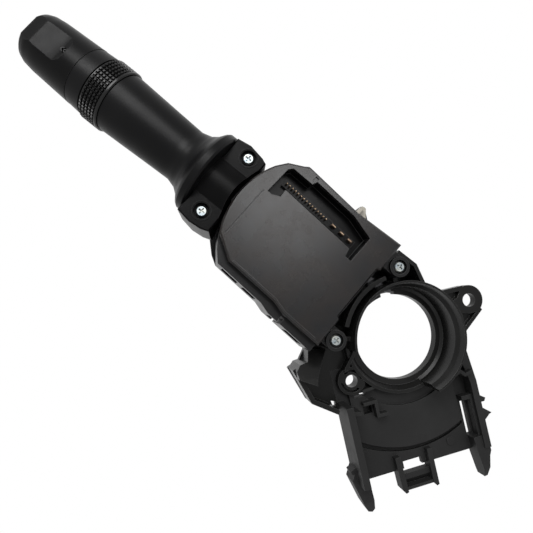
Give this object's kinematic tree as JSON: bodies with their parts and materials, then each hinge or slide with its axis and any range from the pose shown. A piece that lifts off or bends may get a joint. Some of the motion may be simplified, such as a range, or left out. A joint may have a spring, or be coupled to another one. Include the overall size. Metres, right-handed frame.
{
  "type": "combination stalk switch",
  "caption": "Steering-column stalk switch: a lever with a turning end knob and knurled ring on a flat housing, with a column ring bracket and an open tray for a partner switch.",
  "frame": {"origin": "on the axis of the column bore, at the lower face of the ring flange", "axes": "+Z along the bore towards the cover and the connector side, the lever points to -X, +Y is up and right in the picture"},
  "size_m": [0.2773, 0.1092, 0.0413],
  "materials": {
    "bracket_plastic": "matte moulded",
    "housing_plastic": "fine moulded texture",
    "cover_plastic": "satin moulded",
    "lever_plastic": "satin",
    "knurl_plastic": "satin, knurled",
    "slide_plastic": "dry-running moulded",
    "pale_plastic": "natural moulded",
    "zinc_steel": "bright zinc plated",
    "pin_steel": "ground",
    "brass": "stamped",
    "tinned_brass": "flash plated",
    "board": "solder resist"
  },
  "bodies": {
    "base": {"column_ring": "bracket_plastic", "receptacle_tray": "bracket_plastic", "switch_housing": "housing_plastic", "housing_cover": "cover_plastic", "cover_screws": "zinc_steel", "connector_shroud": "housing_plastic", "signal_pins": "tinned_brass", "power_pins": "tinned_brass", "contact_board": "board", "contact_strips": "brass", "pivot_pin": "pin_steel", "pawl_pin": "pin_steel", "detent_block": "slide_plastic", "locking_clip": "pale_plastic"},
    "turn_body": {"turn_carrier": "slide_plastic", "hinge_pin": "pin_steel", "detent_spring": "pin_steel"},
    "plunger": {"detent_plunger": "pale_plastic"},
    "turn_slide": {"turn_slider": "slide_plastic", "turn_wipers": "brass"},
    "beam_slide": {"beam_slider": "slide_plastic", "beam_wiper": "brass"},
    "pawl": {"cancel_pawl": "slide_plastic"},
    "lever": {"lever_neck": "housing_plastic", "neck_cap": "housing_plastic", "neck_screws": "zinc_steel", "lever_tube": "lever_plastic", "lever_core": "slide_plastic", "head_board": "board", "knob_tracks": "brass", "symbol_collar": "lever_plastic"},
    "fog_ring": {"knurled_ring": "knurl_plastic", "ring_wipers": "brass"},
    "end_knob": {"light_knob": "lever_plastic", "knob_shaft": "pin_steel", "knob_rotor": "slide_plastic", "rotor_wipers": "brass"}
  },
  "joints": [
    {"name": "turn_signal", "type": "hinge", "parent": "base", "child": "turn_body", "pos_m": [-0.0575, -0.002, 0.009], "axis": [0, 0, 1], "range_deg": [-12, 12]},
    {"name": "beam_lever", "type": "hinge", "parent": "turn_body", "child": "lever", "pos_m": [-0.08, -0.002, 0.01], "axis": [0, 1, 0], "range_deg": [-6, 5], "stiffness_Nm_per_rad": 5},
    {"name": "light_knob_turn", "type": "hinge", "parent": "lever", "child": "end_knob", "pos_m": [-0.07, -0.00245, 0.01441], "axis": [-0.9927, -0.0338, -0.1157], "range_deg": [0, 60]},
    {"name": "fog_ring_turn", "type": "hinge", "parent": "lever", "child": "fog_ring", "pos_m": [-0.07, -0.00245, 0.01441], "axis": [-0.9927, -0.0338, -0.1157], "range_deg": [0, 30]},
    {"name": "detent_plunger_slide", "type": "slide", "parent": "turn_body", "child": "plunger", "axis": [-1, 0, 0], "range_m": [0, 0.0008], "stiffness_N_per_m": 1500},
    {"name": "turn_contact_slide", "type": "slide", "parent": "base", "child": "turn_slide", "axis": [1, 0, 0], "range_m": [-0.003, 0.003]},
    {"name": "beam_contact_slide", "type": "slide", "parent": "turn_body", "child": "beam_slide", "axis": [0, 0, 1], "range_m": [-0.001, 0.0012]},
    {"name": "cancel_pawl_swing", "type": "hinge", "parent": "base", "child": "pawl", "pos_m": [-0.037, 0.0075, 0.008], "axis": [0, 0, 1], "range_deg": [-6, 6], "stiffness_Nm_per_rad": 0.05}
  ],
  "couplings": [
    {"joint": "turn_contact_slide", "follows": "turn_signal", "m_per_rad": 0.014},
    {"joint": "beam_contact_slide", "follows": "beam_lever", "m_per_rad": -0.01}
  ]
}
